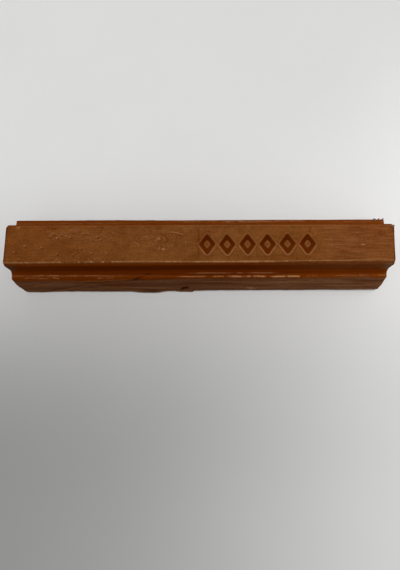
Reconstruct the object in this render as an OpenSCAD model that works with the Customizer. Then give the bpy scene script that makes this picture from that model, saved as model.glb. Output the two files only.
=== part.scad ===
// Furniture repair wax stick: one cast bar of hard wax, lying on its pour face.
// X runs along the bar, Y across it and Z up. The origin is the middle of the pour face.

/* [Bar] */
// Length of the bar, end face to end face
bar_length = 90; // [70:1:120]
// Width across the pour face, before its edges are rounded
base_width = 18.8; // [17:0.2:24]
// Height from the pour face to the plateau
bar_height = 13; // [11:0.2:18]
// Radius of the two long edges that the bar stands on
base_edge_radius = 0.7; // [0.4:0.1:1.2]

/* [Ledge] */
// Width across the two ledges that run along the bar
ledge_width = 14.7; // [14.3:0.1:16]
// Drop from the plateau down to the ledges
ledge_drop = 5.4; // [4.6:0.1:7]
// Radius of the outer edge of a ledge
ledge_edge_radius = 0.35; // [0.1:0.05:0.4]
// Radius of the cove between a ledge and the wall above it
cove_radius = 1.4; // [0.4:0.1:1.4]
// Width across the two walls, where they meet the ledges
wall_foot_width = 10.9; // [10.4:0.1:11]

/* [Plateau] */
// Width of the flat top of the bar, before its edges are rounded
plateau_width = 8.6; // [8:0.1:9.2]
// Drop of the bevel below the plateau
bevel_drop = 1.2; // [0.8:0.1:2]
// Width across the foot of the bevels
bevel_foot_width = 9.9; // [9.6:0.1:10.1]
// Radius that blends a bevel into the wall under it
bevel_foot_radius = 1; // [0.2:0.1:2]
// Radius of the long edges of the plateau
plateau_edge_radius = 0.25; // [0.1:0.05:0.4]

/* [Stamped marks] */
// Number of lozenge marks stamped in the plateau
mark_count = 6; // [1:1:6]
// Distance from one mark to the next
mark_pitch = 4.6; // [4.4:0.1:5]
// Width of a mark, along the bar
mark_width = 4.2; // [3.6:0.1:4.3]
// Height of a mark, across the bar
mark_height = 5.4; // [4.8:0.1:5.8]
// Width of the groove that draws a mark, measured along the bar
mark_stroke = 1.3; // [0.6:0.1:1.4]
// Radius of the outer corners of a mark
mark_corner_radius = 0.5; // [0.1:0.1:0.7]
// Radius of the corners of the island inside a mark
island_corner_radius = 0.2; // [0.1:0.1:0.3]
// Depth of the groove
mark_depth = 0.6; // [0.2:0.1:0.9]
// Place of the middle of the row of marks, along the bar from its middle
mark_row_place = 13.3; // [8:0.1:16]

/* [Witness lines] */
// Length of the insert plate whose two ends leave a line across the plateau
plate_length = 25.6; // [20:0.2:34]
// Width of the insert plate
plate_width = 7.2; // [6.4:0.1:7.4]
// Place of the middle of the insert plate, along the bar from its middle
plate_place = 12.6; // [8:0.2:16]
// Width of a witness line
witness_width = 0.2; // [0.1:0.05:0.4]
// Depth of a witness line
witness_depth = 0.08; // [0.04:0.02:0.2]

/* [Flash] */
// Length of the torn flash that was squeezed out under the near edge
flash_length = 4; // [1.5:0.1:6]
// Reach of the flash beyond the unrounded edge of the pour face
flash_reach = 0.25; // [0.1:0.05:0.6]
// Thickness of the flash
flash_thickness = 0.3; // [0.2:0.05:0.5]
// Place of the left end of the flash, along the bar from its middle
flash_place = -5.8; // [-30:0.2:30]

/* [Crumbs] */
// Width of the largest crumb of wax that lies on the bar
crumb_size = 0.9; // [0.5:0.05:1]
// Height of the largest crumb
crumb_height = 0.5; // [0.2:0.05:0.6]
// Distance from one crumb to the next along the far ledge
crumb_pitch = 1; // [0.9:0.05:1.6]
// Distance of the outermost crumb on the ledge from the end of the bar
crumb_end_gap = 0.3; // [0.3:0.05:3]
// Reach of the crumbs beyond the unrounded edge of the ledge
crumb_overhang = 0.2; // [0.1:0.05:0.25]

/* [Hidden] */
wax_colour = [0.44, 0.25, 0.11];
crumb_colour = [0.36, 0.22, 0.12];
// Cuts run past the face that they open by this much
overrun = 1;
// Steps in each rounded corner of an outline
arc_steps = 8;

ledge_height = bar_height - ledge_drop;

// Corners of one side of the bar's section, from the pour face up: place across, height and radius
side_corners = [
    [base_width / 2, 0, base_edge_radius],
    [ledge_width / 2, ledge_height, ledge_edge_radius],
    [wall_foot_width / 2, ledge_height, cove_radius],
    [bevel_foot_width / 2, bar_height - bevel_drop, bevel_foot_radius],
    [plateau_width / 2, bar_height, plateau_edge_radius],
];

// Outer edge of the flash as shares of its length and of its reach from the foot of the ledge
flash_shares = [[0, 0], [0.15, 0.9], [0.5, 0.94], [1, 1], [0.85, 0.9], [0.8, 0]];
// Outline of a crumb as shares of its size: an angular chip, wider at one end
crumb_shares = [[-0.5, -0.2], [-0.15, -0.5], [0.4, -0.35], [0.5, 0.15], [0.1, 0.5], [-0.4, 0.3]];
// Size of each crumb on the far ledge, outermost first, as a share of the largest
ledge_crumb_shares = [0.6, 0.5, 1];
// Size of the crumb on the plateau's corner, as a share of the largest
corner_crumb_share = 0.8;

function unit(v) = v / norm(v);

function xy(corner) = [corner[0], corner[1]];

// Points of the arc that rounds one corner between its two neighbours
function corner_arc(before, corner, after) =
    let (
        to_before = unit(xy(before) - xy(corner)),
        to_after = unit(xy(after) - xy(corner)),
        radius = corner[2],
        half_angle = acos(to_before * to_after) / 2,
        sweep = 180 - 2 * half_angle,
        centre = xy(corner) + unit(to_before + to_after) * radius / sin(half_angle),
        first = unit(xy(corner) + to_before * radius / tan(half_angle) - centre),
        last = unit(xy(corner) + to_after * radius / tan(half_angle) - centre)
    )
    [for (step = [0:arc_steps])
        let (turned = sweep * step / arc_steps)
        centre + radius * (first * sin(sweep - turned) + last * sin(turned)) / sin(sweep)];

// Closed outline with every corner rounded to its own radius
function rounded_outline(corners) =
    let (count = len(corners))
    [for (i = [0:count - 1])
        each corner_arc(corners[(i + count - 1) % count], corners[i], corners[(i + 1) % count])];

function mirrored(corners) =
    [for (i = [len(corners) - 1:-1:0]) [-corners[i][0], corners[i][1], corners[i][2]]];

// Lozenge with rounded corners, given by its two diagonals
module lozenge(width, height, radius) {
    polygon(rounded_outline([
        [width / 2, 0, radius],
        [0, height / 2, radius],
        [-width / 2, 0, radius],
        [0, -height / 2, radius],
    ]));
}

// Section of the bar, stood up and run along X
module moulded_body() {
    rotate([90, 0, 90])
        linear_extrude(bar_length, center = true)
            polygon(rounded_outline(concat(side_corners, mirrored(side_corners))));
}

// Groove of one lozenge mark, with an island left standing in its middle
module mark_groove() {
    island_width = mark_width - 2 * mark_stroke;
    linear_extrude(mark_depth + overrun)
        difference() {
            lozenge(mark_width, mark_height, mark_corner_radius);
            lozenge(island_width, mark_height * island_width / mark_width, island_corner_radius);
        }
}

module mark_row() {
    for (i = [0:mark_count - 1])
        translate([mark_row_place + (i - (mark_count - 1) / 2) * mark_pitch, 0, bar_height - mark_depth])
            mark_groove();
}

// Lines that the two ends of the mould's insert plate leave across the plateau
module witness_lines() {
    for (side = [-1, 1])
        translate([plate_place + side * plate_length / 2, 0, bar_height - witness_depth])
            linear_extrude(witness_depth + overrun)
                square([witness_width, plate_width], center = true);
}

// Thin tongue of wax that leaves the near edge and ends in a point
module flash_tongue() {
    root = ledge_width / 2;
    reach = base_width / 2 + flash_reach - root;
    translate([flash_place, -root])
        linear_extrude(flash_thickness)
            polygon([for (point = flash_shares) [point[0] * flash_length, -point[1] * reach]]);
}

module wax_bar() {
    color(wax_colour)
        difference() {
            union() {
                moulded_body();
                flash_tongue();
            }
            mark_row();
            witness_lines();
        }
}

// One crumb, standing on Z = 0
module crumb(share) {
    linear_extrude(crumb_height * share)
        polygon(crumb_shares * crumb_size * share);
}

// Loose crumbs of wax that cling to the far ledge, near its right end
module ledge_crumbs() {
    color(crumb_colour)
        for (i = [0:len(ledge_crumb_shares) - 1]) {
            share = ledge_crumb_shares[i];
            translate([
                bar_length / 2 - crumb_end_gap - i * crumb_pitch,
                ledge_width / 2 + crumb_overhang - crumb_size * share / 2,
                ledge_height,
            ])
                crumb(share);
        }
}

// Crumb of wax on the far right corner of the plateau
module corner_crumb() {
    inset = crumb_size * corner_crumb_share / 2;
    color(crumb_colour)
        translate([bar_length / 2 - inset, plateau_width / 2 - plateau_edge_radius - inset, bar_height])
            crumb(corner_crumb_share);
}

wax_bar();
ledge_crumbs();
corner_crumb();
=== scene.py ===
"""Looks of a furniture repair wax stick: one cast bar of brown wax with loose crumbs, on a pale table.

Lengths are in millimetres until a mesh is made, and MM turns them into Blender's metres. X runs along the
bar, Y across it towards the far side, and Z up from the pour face. A feature's strength in a mask is a
plain share, written beside the mask's name.
"""
import functools
import math

import bmesh
import bpy
import numpy as np
from mathutils import Matrix, Vector


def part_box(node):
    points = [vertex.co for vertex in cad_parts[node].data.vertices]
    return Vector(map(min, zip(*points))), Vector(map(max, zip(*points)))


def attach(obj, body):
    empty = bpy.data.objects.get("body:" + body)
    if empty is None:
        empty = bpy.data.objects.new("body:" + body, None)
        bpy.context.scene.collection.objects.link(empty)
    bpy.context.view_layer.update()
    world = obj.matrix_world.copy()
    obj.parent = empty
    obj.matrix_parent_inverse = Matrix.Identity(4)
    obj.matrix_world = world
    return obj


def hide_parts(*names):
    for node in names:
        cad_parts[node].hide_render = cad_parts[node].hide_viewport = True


MM = 0.001

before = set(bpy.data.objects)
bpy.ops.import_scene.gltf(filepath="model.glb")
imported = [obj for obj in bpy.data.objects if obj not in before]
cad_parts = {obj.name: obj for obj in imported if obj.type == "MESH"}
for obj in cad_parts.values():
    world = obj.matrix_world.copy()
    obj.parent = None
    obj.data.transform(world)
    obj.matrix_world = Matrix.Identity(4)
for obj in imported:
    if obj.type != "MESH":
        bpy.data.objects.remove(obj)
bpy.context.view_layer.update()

# The bar's section, the same as in the solids
BAR_LOW, BAR_HIGH = (np.array(corner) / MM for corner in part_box("wax_bar"))
HALF_LENGTH = (BAR_HIGH[0] - BAR_LOW[0]) / 2
HEIGHT = BAR_HIGH[2] - BAR_LOW[2]
BASE_HALF = 9.4
LEDGE_HALF = 7.35
LEDGE_DROP = 5.4
WALL_FOOT_HALF = 5.45
BEVEL_FOOT_HALF = 4.95
BEVEL_DROP = 1.2
PLATEAU_HALF = 4.3
LEDGE_HEIGHT = HEIGHT - LEDGE_DROP
BEVEL_FOOT_HEIGHT = HEIGHT - BEVEL_DROP
RIM_HEIGHT = HEIGHT - 0.2

# Corners of one side, from the pour face up: across, height, radius, steps in the arc, and the spacing
# of points on the straight stretch before it
CORNERS = [
    (BASE_HALF, 0.0, 0.7, 6, 0.8),
    (LEDGE_HALF, LEDGE_HEIGHT, 0.35, 4, 0.33),
    (WALL_FOOT_HALF, LEDGE_HEIGHT, 1.4, 15, 0.1),
    (BEVEL_FOOT_HALF, BEVEL_FOOT_HEIGHT, 0.35, 3, 0.5),
    (PLATEAU_HALF, HEIGHT, 0.24, 4, 0.28),
]
PLATEAU_SPACING = 0.13

# How far a point may lie off a flat face, and where the plateau and the lower sides fade in the masks
FLATNESS = 0.001
PLATEAU_EDGE = (PLATEAU_HALF, PLATEAU_HALF - 0.3)
FLANK_TOP = (LEDGE_HEIGHT, LEDGE_HEIGHT - 0.7)
FLANK_FOOT = (0.0, 0.5)

# Ends: both are a little skew, given as a slope across the bar
LEFT_SKEW = 0.0234
RIGHT_SKEW = 0.0285
# Reach of each end beyond that of the plateau: height, reach
LEFT_REACH = [(0, 0.1), (7.4, 0.0), (8.0, 0.2), (11.5, 0.2), (12.6, 0.1), (13, 0.0)]
RIGHT_REACH = [
    (0, 0.75), (2, 0.6), (5, 0.35), (7.4, 0.12), (8.5, 0.27), (11.5, 0.3), (12.6, 0.12), (13, 0.05),
]
# Radius of the edge round each end face: nearly everywhere, at the plateau, and at the foot
SHARP_END_RADIUS = 0.06
PLATEAU_END_RADIUS = 0.16
FOOT_END_RADIUS = 0.12
FOOT_END_HEIGHT = 3.0
# Corners seen from above: end, -1 for left, side, -1 for near, and the radius on the whole lower side, at
# its foot and at the plateau
CORNER_RADII = [
    (-1, -1, 0.15, 1.6, 0.15),
    (1, -1, 0.08, 0.08, 0.2),
    (-1, 1, 0.6, 0.9, 0.45),
    (1, 1, 0.4, 0.7, 0.3),
]
FOOT_CORNER_HEIGHT = 4.5
UPPER_CORNER_RISE = (BEVEL_FOOT_HEIGHT - 0.6, RIM_HEIGHT)

# Narrowing of the bar above its lower sides: place along the bar, share of the width
UPPER_TAPER = [(-45, 0.006), (-18, 0.010), (-2, 0.022), (45, 0.026)]
TAPER_RISE = (3.0, LEDGE_HEIGHT - 0.8)
# How far the plateau's far edge draws in near both ends, and where that begins and is complete
FAR_TRIM = 0.14
FAR_TRIM_LEFT = (-41.5, -42.3)
FAR_TRIM_RIGHT = (42.0, 42.8)

# Columns of the mesh: steps round each end's edge and on to the first straight column, and zones of
# straight columns, closer where the plateau has small relief
END_STEPS = 5
BLEND_LENGTH = 3.0
BLEND_STEPS = 10
COLUMN_ZONES = [
    (-HALF_LENGTH + BLEND_LENGTH, -34.5, 0.3),
    (-34.5, -20.0, 0.21),
    (-20.0, -11.0, 0.33),
    (-11.0, -1.2, 0.25),
    (-1.2, 27.6, 0.165),
    (27.6, HALF_LENGTH - BLEND_LENGTH, 0.33),
]

# End caps: rings that draw in to a middle, how far the cap lies behind its edge, and its sink and grain
CAP_RINGS = 20
CAP_RING_POWER = 1.15
CAP_LAST_RING = 0.004
CAP_MIDDLE_HEIGHT = 0.65 * LEDGE_HEIGHT
CAP_SET_BACK = 0.03
CAP_SINK = 0.12
CAP_GRAIN = 0.03
CAP_GRAIN_CELL = 1.6

# From here on, layers of waves hold a strength, the size of the cells in each direction and a seed. Spans
# and bands hold a low end, a high end and a fade. Lines hold a middle and a width, and ovals their middle,
# both half sizes and a slope. Other pairs are the places where something begins and where it is complete.
# Rows of a path or of a strength begin with the place along the bar.

# Waves of the whole skin, and the plateau's ripples and sink
SKIN_WAVES = [(0.02, 9, 4, 1), (0.006, 1.1, 0.9, 2)]
PLATEAU_RIPPLES = [(0.008, 2.2, 1.1, 13), (0.004, 0.8, 0.5, 14)]
PLATEAU_SINK = 0.03

# Pimples on the plateau: place along, place across, radius and strength
PIMPLES = [
    (-42.5, -1.96, 0.26, 0.08), (-41.2, -3.6, 0.25, 0.06), (-40.0, -0.55, 0.28, 0.1),
    (-36.2, -0.93, 0.28, 0.08), (-35.6, -3.87, 0.22, 0.06), (-32.7, 1.31, 0.28, 0.09),
    (-29.7, 1.54, 0.26, 0.08), (-27.2, -1.2, 0.25, 0.07), (-24.8, 0.8, 0.24, 0.07),
    (-24.7, -2.27, 0.25, 0.07), (-23.4, 1.63, 0.25, 0.09), (-22.7, 1.03, 0.24, 0.08),
    (37.8, -0.58, 0.16, 0.12), (30.8, -0.62, 0.18, 0.07), (31.8, -1.21, 0.2, 0.06),
    (33.6, -2.04, 0.2, -0.05), (34.7, -2.04, 0.2, -0.05),
]
PIMPLE_HEIGHT = 1.5
# Field of small pimples: left end, densest place and right end, and ranges of what is drawn
PIMPLE_FIELD = (-34.0, -25.0, -20.5)
FIELD_COUNT = 90
FIELD_ACROSS = (-0.92 * PLATEAU_HALF, 0.92 * PLATEAU_HALF)
FIELD_RADII = (0.14, 0.24)
FIELD_STRENGTHS = (0.01, 0.06)
FIELD_SEED = 21
# Bright specks on the plateau, small bumps with a painted highlight: place along, place across and radius
SPECKS = [
    (-41.85, 4.0, 0.22), (37.36, -0.43, 0.16), (-9.2, 1.15, 0.16), (-8.3, -1.35, 0.2), (-9.3, -1.1, 0.14),
]
SPECK_HEIGHT = 0.04

# Curled wrinkles: patches along the bar and across it with their strength, and the contour they follow
WRINKLE_PATCHES = [
    ((-35.5, -20.5, 2.0), (0.9, 3.8, 0.6), 1.0),
    ((-35.0, -19.0, 2.0), (-4.0, -3.0, 0.5), 0.8),
]
WRINKLE_GAPS = [(1.0, 2.2, 1.1, 19)]
WRINKLE_CURLS = [(1.0, 0.9, 0.6, 20)]
WRINKLE_CONTOUR = (0.3, 0.22)
WRINKLE_HEIGHT = 0.04
WRINKLE_SHADE_OFFSET = 0.3

# Ring on the plateau, fainter near the middle of the bar, with its edge and shade in shares of its size
RING = (-8.85, 0.05, 1.15, 1.65, 0)
RING_EDGE = (1, 0.18)
RING_SHADE = (1.35, 0.16)
RING_WOBBLE = [(0.12, 0.7, 0.7, 15)]
RING_GAPS = [(1.0, 0.5, 0.5, 18)]
RING_STRONG = (0.4, 1.0)
RING_HEIGHT = 0.03
# Curved ridge beside the ring
ARC_SPAN = (-7.0, -4.2, 0.6)
ARC_LINE = (2.75, 0.13)
ARC_SHADE = (2.45, 0.15)
ARC_BEND = 0.055
ARC_HEIGHT = 0.03
# Rough patch round both
ROUGH_ALONG = (-16.5, -3.5, 2.0)
ROUGH_ACROSS = (-0.8, 3.2, 1.0)
ROUGH_GRAINS = [(1.0, 0.4, 0.35, 16)]
ROUGH_HEIGHT = 0.025

# Witness lines of the mould's insert plate: place along the bar, and reach across it
WITNESS_LINES = [(-0.18, -3.1, 3.6), (25.44, 2.7, 3.6)]
WITNESS_WIDTH = 0.13
WITNESS_DEPTH = 0.06
WITNESS_FADE = 0.3

# Lengthwise scratches on the right part of the plateau
STREAK_START = (24, 32)
STREAKS = [(1.0, 3, 0.16, 17)]
STREAK_HEIGHT = 0.015

# Stamped marks: a row of lozenges, each with an island
MARK_COUNT = 6
MARK_PITCH = 4.6
MARK_ROW_PLACE = 13.3
MARK_ROW_ACROSS = -0.2
MARK_HALF_WIDTH = 2.12
MARK_HALF_HEIGHT = 2.95
MARK_STROKE = 1.5
MARK_CORNER_RADIUS = 0.6
ISLAND_CORNER_RADIUS = 0.15
MARK_DEPTH = 0.42
# How far each mark may stray: along the bar, in its turn, across the bar, and as a share of its depth
MARK_STRAY = (0.05, math.radians(1.2), 0.06, 0.1)
MARK_SEED = 11
# Rims of marks and islands as lines beside the outline, with their heights
MARK_RIM = (0.1, 0.12)
MARK_RIM_HEIGHT = 0.03
ISLAND_RIM = (-0.08, 0.1)
ISLAND_RIM_HEIGHT = 0.02
RIM_OVERLAP = 0.15
# Painted shade outside the rims and on the islands' tops, and the lower part of a mark, with a stronger
# painted highlight on its rims, and the upper part, with deeper painted shade
MARK_SHADE_RING = (0.45, 0.3)
ISLAND_TOP = (0.05, -0.25)
MARK_LOWER = (1.0, -1.5)
MARK_UPPER = (-1.0, 1.5)

# Burr on the plateau's near edge, with a painted highlight: strength, and how far past the edge it lies
NEAR_BURR = [
    (-45, 0.8, 0.03), (-37, 0.75, 0.03), (-34, 0.7, 0.0), (-22.5, 0.9, -0.05), (-21, 1.3, -0.05),
    (-18, 1.1, -0.05), (-15, 0.6, -0.05), (-9, 0.75, -0.03), (-6.5, 0.65, 0.0), (-2, 0.95, 0.06),
    (1, 1.6, 0.06), (16, 1.75, 0.06), (17.5, 0.65, 0.06), (21, 0.55, 0.0), (24, 0.5, -0.05),
    (28, 0.65, -0.05), (35, 0.6, -0.05), (38, 0.4, -0.05), (45, 0.25, -0.05),
]
NEAR_BURR_WIDTH = 0.11
NEAR_BURR_HEIGHT = 0.04
NEAR_BURR_DROP = 0.4
# Ends of the stretch where it is broken, and its waves there, elsewhere, and in bright painted glints
BROKEN_BURR = (-33, -20)
BROKEN_WAVES = [(0.4, 1.4, 31), (1.1, 0.55, 32)]
SOLID_WAVES = [(0.25, 1.4, 31), (0.25, 0.55, 32)]
BURR_POINTS = [(1.0, 0.4, 34)]
# Burr on the far edge, with a fainter painted highlight
FAR_BURR = [
    (-45, 0.2), (-36, 0.4), (-28, 0.4), (-23, 0.1), (-19, 0.1), (-16, 0.4), (-10, 0.3), (-5, 0.4),
    (10, 0.5), (35, 0.55), (39, 0.3), (45, 0.3),
]
FAR_BURR_LINE = (PLATEAU_HALF, 0.14)
FAR_BURR_HEIGHT = 0.02
FAR_BURR_DROP = 0.3
FAR_BURR_WAVES = [(0.5, 2, 33)]
# Groove just inside the far edge, with painted shade in it
GROOVE = (PLATEAU_HALF - 0.42, 0.13)
GROOVE_DEPTH = 0.02
GROOVE_WAVES = [(0.8, 0.8, 35)]

# Painted shade down each end of the plateau and on the far corners, and patches of painted sheen on the walls
# below it
END_LINE = (0.08, 0.17)
END_LINE_RISE = (HEIGHT - 0.6, HEIGHT - 0.1)
SHEEN_PATCH_BAND = (LEDGE_HEIGHT + 1.2, BEVEL_FOOT_HEIGHT - 0.1, 0.6)
SHEEN_PATCH_REACH = (2.6, 0.6)
SHEEN_PATCH_WAVES = [(0.8, 0.9, 0.8, 36)]
FAR_CORNER_REACH = (2.0, 0.3)
FAR_CORNER_ACROSS = (1.0, 3.5)

# Heights of the cove, the walls and the bevels, and of the lines on the ledges and in the coves
COVE_FOOT = LEDGE_HEIGHT - 0.05
COVE_TOP = (LEDGE_HEIGHT + 1.1, LEDGE_HEIGHT + 0.9)
WALL_BAND = (LEDGE_HEIGHT + 1.1, BEVEL_FOOT_HEIGHT - 0.1, 0.2)
BEVEL_BAND = (BEVEL_FOOT_HEIGHT + 0.12, HEIGHT - 0.4, 0.15)
FAR_SIDE_BAND = (LEDGE_HEIGHT - 0.1, BEVEL_FOOT_HEIGHT, 0.3)
LEDGE_LEVEL = (LEDGE_HEIGHT, 0.5)
COVE_LEVEL = (LEDGE_HEIGHT, 1.2)
# Painted shade of the coves and of the walls
COVE_SHADE_STRENGTH = [(-45, 0.8), (-22, 0.95), (12, 0.95), (22, 0.5), (33, 0.25), (45, 0.25)]
WALL_SHADE_STRENGTH = [(-45, 0.8), (-36, 0.85), (-26, 1.0), (12, 1.0), (24, 0.65), (33, 0.4), (45, 0.4)]
# Dulled skin with painted sheen on the near walls and bevels
WALL_DULL_AND_SHEEN = [(-45, 0.15), (-38, 0.15), (-30, 0.0), (8, 0.0), (22, 0.26), (45, 0.38)]
# Where the painted shade sets in: away from each end, into the cove, across the lip and along it
END_PALING = (0.5, 2.4)
COVE_MOUTH = (6.75, 6.3)
LIP_SHADE = (6.9, 7.2)
LIP_SHADE_END = (30, 18)
# Painted shade at the back of the near ledge
COVE_BACK_SHADE = (6.02, 0.22)
COVE_BACK_SHADE_BAND = (LEDGE_HEIGHT - 0.1, LEDGE_HEIGHT + 1.2, 0.1)
COVE_BACK_SHADE_START = (14, 22)

# Ridge along both ledges, with a painted highlight: side, first seed of its waves and paleness of the
# highlight
RIDGE_SIDES = [(-1, 40, 1.1), (1, 50, 0.4)]
# Its place across, and its strength
RIDGE_PATH = [(-45, 6.5), (-15, 6.55), (-6, 6.85), (24, 7.02), (31, 6.92), (45, 6.88)]
RIDGE_STRENGTH = [
    (-45, 0.4), (-40, 0.45), (-34, 0.6), (-27, 0.58), (-22, 0.42), (-16, 0.1), (-8, 0.1), (-5, 0.15),
    (-3.5, 0.8), (-1.5, 0.8), (0, 0.5), (4, 0.45), (5, 0.5), (6, 1.0), (24, 1.2), (26.5, 0.2),
    (31, 0.1), (33, 0.27), (44, 0.27),
]
RIDGE_HEIGHT = 0.07
RIDGE_WIDTH = 0.12
RIDGE_WIDENING = 0.05
RIDGE_WIDE_SPAN = (6, 24, 1)
# Waves of its path, breaks in it and waves of the lip, with seeds counted from the side's first one
RIDGE_SWAY = [(0.07, 2.5, 0), (0.04, 0.7, 1)]
RIDGE_BREAKS = [(1.0, 0.9, 2), (0.5, 0.35, 5)]
RIDGE_BREAKS_RISE = (-5, 5)
LIP_WAVES = [(0.05, 2.4, 3), (0.03, 0.8, 4)]
LIP_LINE = (LEDGE_HALF, 0.45)
# Wavy second ridge, nearer to the near ledge's lip
SECOND_RIDGE = [
    (-42.5, 0), (-42, 0.5), (-34, 0.4), (-33.5, 0), (-25, 0), (-24.5, 0.3), (-21, 0.3), (-20.5, 0),
]
SECOND_LINE = (7.08, 0.12)
SECOND_HEIGHT = 0.04
SECOND_SWAY = [(0.1, 1.2, 47)]
SECOND_BREAKS = [(0.35, 0.6, 48)]
# Thin raised line in the near cove with a painted highlight, and the painted shade beside it
COVE_SPAN = (0, 16.5, 4.0)
COVE_LINE = (6.1, 0.1)
COVE_LINE_HEIGHT = 0.05
COVE_SWAY = [(0.04, 3, 45)]
COVE_BREAKS = [(0.6, 1.2, 46)]
COVE_SHADE = (6.48, 0.18)
# Fold where the near side's cold lap climbs over the ledge, with painted shade in it, as its place across
FOLD_PATH = [
    (-16.6, 7.7), (-15.2, 7.35), (-14.45, 7.05), (-13.7, 6.72), (-13, 6.49), (-12.4, 6.26), (-11, 6.1),
]
FOLD_SPAN = (-15.6, -12.2, 1.0)
FOLD_WIDTH = 0.2
FOLD_DEPTH = 0.05
FOLD_DARKENING = (6.3, 6.8)

# Lengthwise lines on the lower sides with painted highlights and shade, the shade weaker near the foot
FLANK_LINES = [(1.0, 20, 1.2, 3), (0.6, 7, 0.7, 4)]
FLANK_LINE_HEIGHT = 0.05
FLANK_LINE_RISE = (1.5, 3.0)
# Cold lap on the near lower side: height
LAP_PATH = [(-30, 5.6), (-24, 6.0), (-18, 6.9), (-14, 7.3), (-12, 7.7)]
LAP_WAVES = [(0.12, 1.5, 61)]
LAP_SPAN = (-28, -12.5, 1.5)
LAP_DEPTH = 0.06
# Up from the lap: its step, where the hollow below it runs out, its painted shade and its painted highlight
LAP_STEP = (0.0, -0.25)
LAP_RUN_OUT = (-2.0, -0.4)
LAP_SHADE = (-0.05, 0.28)
LAP_LIGHT = (0.25, 0.2)
# Upper edge of the dulled skin with painted sheen: height
DULL_SHEEN_TOP = [(-45, 6.9), (-28, 6.7), (-12, 7.0), (-5, 7.5), (45, 7.45)]
DULL_SHEEN_WAVES = [(0.15, 2.5, 63)]
# Up from that edge: its fade and painted shade. Along the bar: where the lap cuts it off and the shade sets
# in
DULL_SHEEN_FADE = (0.15, -0.35)
DULL_SHEEN_SHADE = (-0.1, 0.3)
DULL_SHEEN_CUT_OFF = (-28, -12)
DULL_SHEEN_SHADE_END = (-3, -9)
# Creases in the near lower side: place and height of both ends, and depth
CREASES = [
    (-41, 4.6, -36, 5.9, 0.05), (-37.7, 1.0, -28.3, 4.3, 0.06), (-25, 3.9, -9, 3.3, 0.05),
    (-20, 2.0, -8, 1.4, 0.05), (1, 6.3, 26, 6.2, 0.04), (20, 4.4, 40, 4.0, 0.04), (-2, 1.2, 42, 0.9, 0.05),
]
CREASE_FADE = 0.8
CREASE_LINE = (0, 0.3)
CREASE_LIGHT = (-0.6, 0.3)
CREASE_WAVES = [(0.15, 2, 62)]
# Nick in the near lower side, with a painted highlight
NICK = (13.0, 2.1, 1.15, 0.6, -0.25)
NICK_WAVES = [(0.35, 0.45, 0.4, 64)]
NICK_DEPTH = 0.1

# Edges of the pour face, as an oval across the section, and how uneven they are
BASE_EDGE = (BASE_HALF - 0.2, 0.3, 1.1, 1.1, 0)
NEAR_BASE_WAVES = [(0.05, 5, 71), (0.035, 1.3, 72)]
FAR_BASE_WAVES = [(0.1, 4, 73), (0.05, 1.2, 74)]
FAR_BASE_DRAW_IN = 0.16
# Bulge of the near edge beyond the section, with a painted shadow under it
NEAR_BASE_BULGE = [
    (-45, 0.12), (-40, 0.2), (-31, 0.08), (-22, 0.14), (-17.5, 0.14), (-14.5, 0.5), (-10.5, 0.52),
    (-8.3, 0.1), (-1.5, 0.03), (5, -0.1), (45, -0.12),
]
BULGE_SHADE = (-12.3, 2.8)

# Torn flash at the near edge, as a share of its reach
FLASH_SHAPE = [(-6.4, 0.0), (-5.6, 0.5), (-4.6, 0.65), (-2.8, 0.85), (-1.85, 1.0), (-1.6, 0.55), (-1.3, 0.0)]
FLASH_WAVES = [(0.08, 0.35, 81)]
FLASH_REACH = 0.52
FLASH_TOP = (0.7, 0.35)
FLASH_INNER_SIDE = 8.6
# Hole above it with a painted shadow in it, and the torn wax between the two with painted highlights
HOLE = (-3.8, 2.05, 1.05, 0.85, 0.45)
HOLE_WAVES = [(0.25, 0.5, 0.4, 82)]
HOLE_DEPTH = 0.3
TORN_SPAN = (-6.6, -1.6, 0.5)
TORN_LINE = (0.85, 0.3)
TORN_BITS = [(1.0, 0.4, 0.3, 83)]
TORN_HEIGHT = 0.06

# Dish of the pour face, which cooled in the open, and its slanting ripples
DISH_DEPTH = 0.28
DISH_END = (HALF_LENGTH, HALF_LENGTH - 9)
RIPPLE_DEPTH = 0.1
RIPPLES = [(0.5, 3.5, 2.4, 91)]
RIPPLE_SLANT = 1.05

# Crumbs, as in the solids: the largest's size and height, pitch along the ledge, gap, overhang and sink,
# and the share of its size and the seed of each one on the ledge
CRUMB_SIZE = 0.9
CRUMB_HEIGHT = 0.5
CRUMB_PITCH = 1.0
CRUMB_END_GAP = 0.3
CRUMB_OVERHANG = 0.1
CRUMB_SINK = 0.05
LEDGE_CRUMBS = [(0.6, 201), (0.5, 202), (1.0, 203)]
CORNER_SIZE = 0.9 * CRUMB_SIZE
CORNER_HEIGHT = 0.8 * CRUMB_HEIGHT
CORNER_INSET = 0.46
CORNER_SINK = 0.06
CORNER_SEED = 207
# Their shape: random cuts, how deep these go, how sharp their edges are, the grain, and depth over width
CHIP_CUTS = 11
CHIP_CUT_DEPTHS = (0.55, 1.0)
CHIP_SHARPNESS = 9
CHIP_GRAIN = 0.05
CHIP_DEPTH_SHARE = 0.85

# Colours
WAX_RED = (0.172, 0.035, 0.0015)
WAX_OCHRE = (0.215, 0.0755, 0.0175)
# Painted shade: a deeper red, and near black where the shade is deepest
WAX_SHADED = (0.125, 0.020, 0.0005)
WAX_DEEP_SHADE = (0.012, 0.003, 0.001)
# Pale edges: partly worn wax, partly painted highlight
WAX_HIGHLIGHT_AND_WEAR = (0.47, 0.223, 0.093)
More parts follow.
